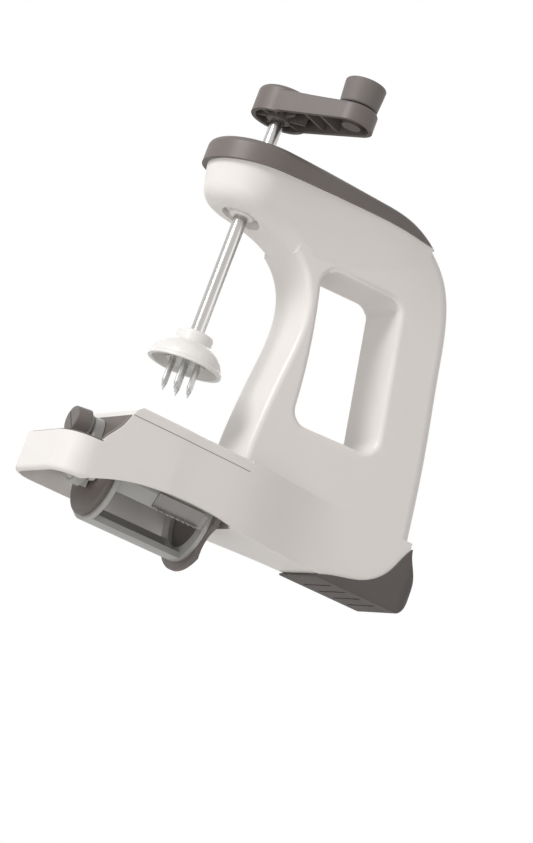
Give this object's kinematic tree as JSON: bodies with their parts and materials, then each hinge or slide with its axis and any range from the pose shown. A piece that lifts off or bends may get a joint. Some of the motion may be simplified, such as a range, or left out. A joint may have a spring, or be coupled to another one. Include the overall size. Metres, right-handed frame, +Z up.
{
  "type": "hand spiralizer with crank",
  "caption": "Hand-held vegetable spiralizer: a crank turns a sliding rod and pronged holder down through a feed ring onto a selectable blade drum, under an arched handle.",
  "frame": {"origin": "on the feed rod's axis, in the plane of the vegetable holder's rim at rest", "axes": "+Z up along the feed rod, +X from the selector nose to the handle, +Y across to the far side"},
  "size_m": [0.2308, 0.0929, 0.2855],
  "materials": {
    "body_white": "satin moulded",
    "holder_white": "gloss",
    "taupe_plastic": "fine grain",
    "knob_grey": "matte, soft touch",
    "grip_rubber": "matte",
    "foot_rubber": "matte",
    "light_grey": "satin",
    "polished_rod": "polished",
    "steel_plain": "brushed",
    "blade_steel": "ground edge"
  },
  "bodies": {
    "frame": {"body_near": "body_white", "body_far": "body_white", "body_screws": "steel_plain", "top_cover": "taupe_plastic", "bush_top": "taupe_plastic", "bush_low": "holder_white", "grip_insert": "grip_rubber", "base_housing": "body_white", "feed_ring": "body_white", "cutting_floor": "steel_plain", "pocket_liner": "taupe_plastic", "heel_foot": "foot_rubber", "rear_bearing": "taupe_plastic", "bearing_clip": "holder_white"},
    "sleeve": {"drive_sleeve": "holder_white"},
    "rod": {"feed_rod": "polished_rod", "crank_arm": "taupe_plastic", "knob_pin": "steel_plain", "holder_dome": "holder_white", "holder_collar": "holder_white", "holder_prongs": "steel_plain"},
    "crank_grip": {"crank_knob": "knob_grey"},
    "drum": {"drum_frame": "light_grey", "drum_front_plate": "taupe_plastic", "drum_rear_plate": "taupe_plastic", "blade_ribbon": "blade_steel", "blade_comb": "blade_steel", "blade_wide_comb": "blade_steel", "selector_lever": "light_grey", "selector_stem": "light_grey"},
    "selector": {"selector_knob": "knob_grey"}
  },
  "joints": [
    {"name": "crank_spin", "type": "hinge", "parent": "frame", "child": "sleeve", "pos_m": [0, 0, 0.11], "axis": [0, 0, 1], "continuous": true},
    {"name": "rod_slide", "type": "slide", "parent": "sleeve", "child": "rod", "axis": [0, 0, 1], "range_m": [-0.018, 0.07]},
    {"name": "knob_spin", "type": "hinge", "parent": "rod", "child": "crank_grip", "pos_m": [0.0227, -0.04455, 0.165], "axis": [0, 0, 1], "continuous": true},
    {"name": "drum_turn", "type": "hinge", "parent": "frame", "child": "drum", "pos_m": [0, 0, -0.073], "axis": [1, 0, 0], "continuous": true},
    {"name": "selector_lock", "type": "hinge", "parent": "drum", "child": "selector", "pos_m": [-0.045, 0, -0.0525], "axis": [1, 0, 0], "range_deg": [0, 90]}
  ]
}
